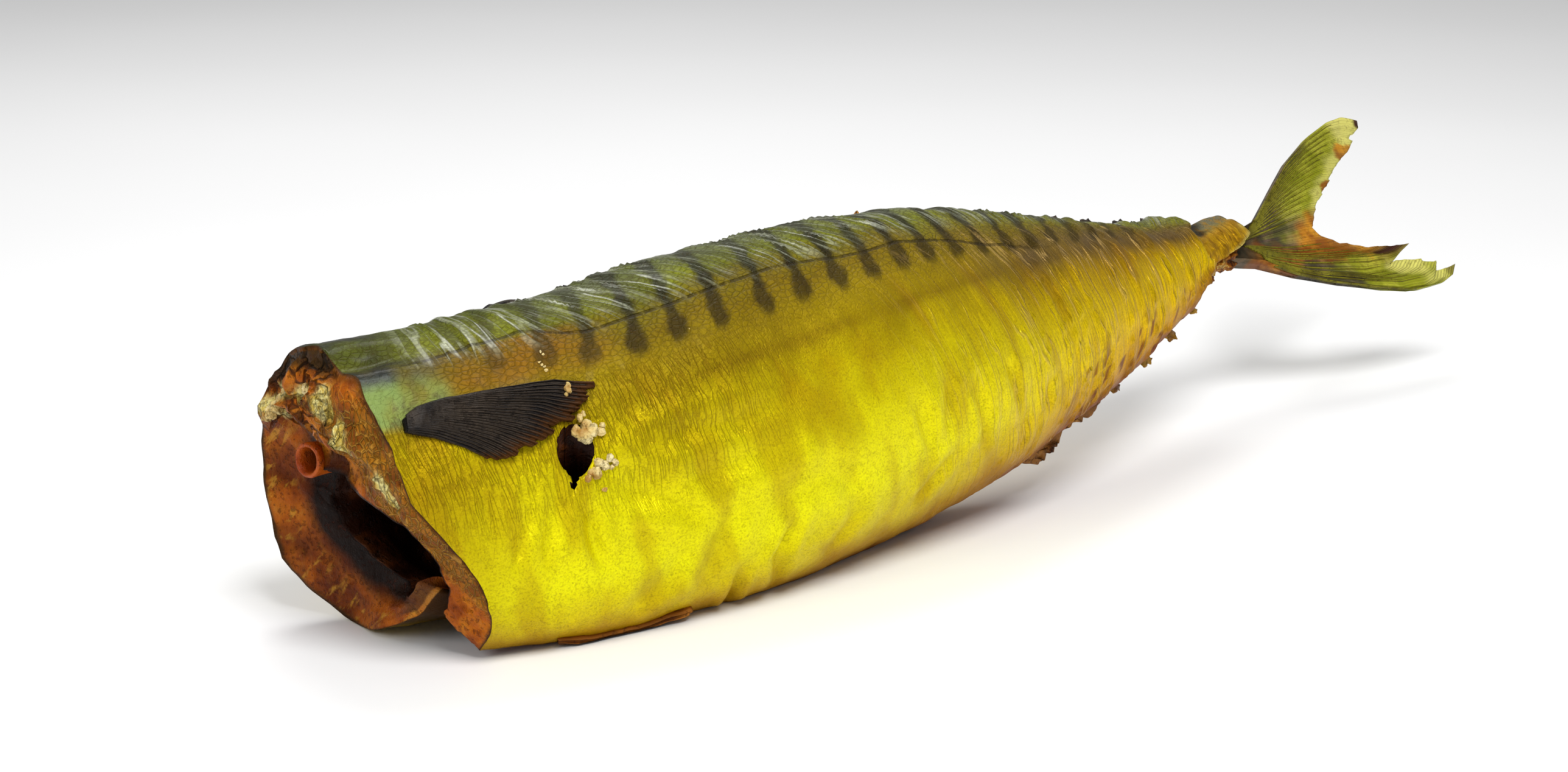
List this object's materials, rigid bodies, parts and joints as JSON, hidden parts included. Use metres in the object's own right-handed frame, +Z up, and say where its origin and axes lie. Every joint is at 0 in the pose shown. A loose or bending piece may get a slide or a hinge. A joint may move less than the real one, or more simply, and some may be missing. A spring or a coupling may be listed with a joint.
{
  "type": "smoked fish",
  "caption": "Headed and gutted hot-smoked mackerel lying on its slit belly, with an open belly cavity, backbone end, fins, finlets and forked tail.",
  "frame": {"origin": "on the table, under the middle of the fish's bounding box", "axes": "+X along the fish from the head cut to the tail, +Y towards the side that the fish's right flank faces, +Z up"},
  "size_m": [0.3138, 0.0806, 0.0649],
  "materials": {
    "skin_and_flesh": "glossy golden smoked skin with a dark striped green back, orange-brown cooked flesh where it is cut",
    "bone": "dull smoked bone",
    "tail_fin": "dried, half translucent yellow-green fin with brown rays and scorched edges",
    "dark_fin": "dried blue-black rayed fin, satin",
    "brown_fin": "dried brown ragged fin, satin"
  },
  "bodies": {
    "root": {"body": "skin_and_flesh", "backbone": "bone", "tail_fin": "tail_fin", "pectoral_fin_left": "dark_fin", "pectoral_fin_right": "dark_fin", "first_dorsal_fin": "dark_fin", "second_dorsal_fin": "dark_fin", "dorsal_finlet_1": "dark_fin", "dorsal_finlet_2": "dark_fin", "dorsal_finlet_3": "dark_fin", "dorsal_finlet_4": "dark_fin", "dorsal_finlet_5": "dark_fin", "pelvic_fin_left": "brown_fin", "pelvic_fin_right": "brown_fin", "anal_fin": "brown_fin", "anal_finlet_1": "brown_fin", "anal_finlet_2": "brown_fin", "anal_finlet_3": "brown_fin", "anal_finlet_4": "brown_fin", "anal_finlet_5": "brown_fin"}
  },
  "joints": []
}
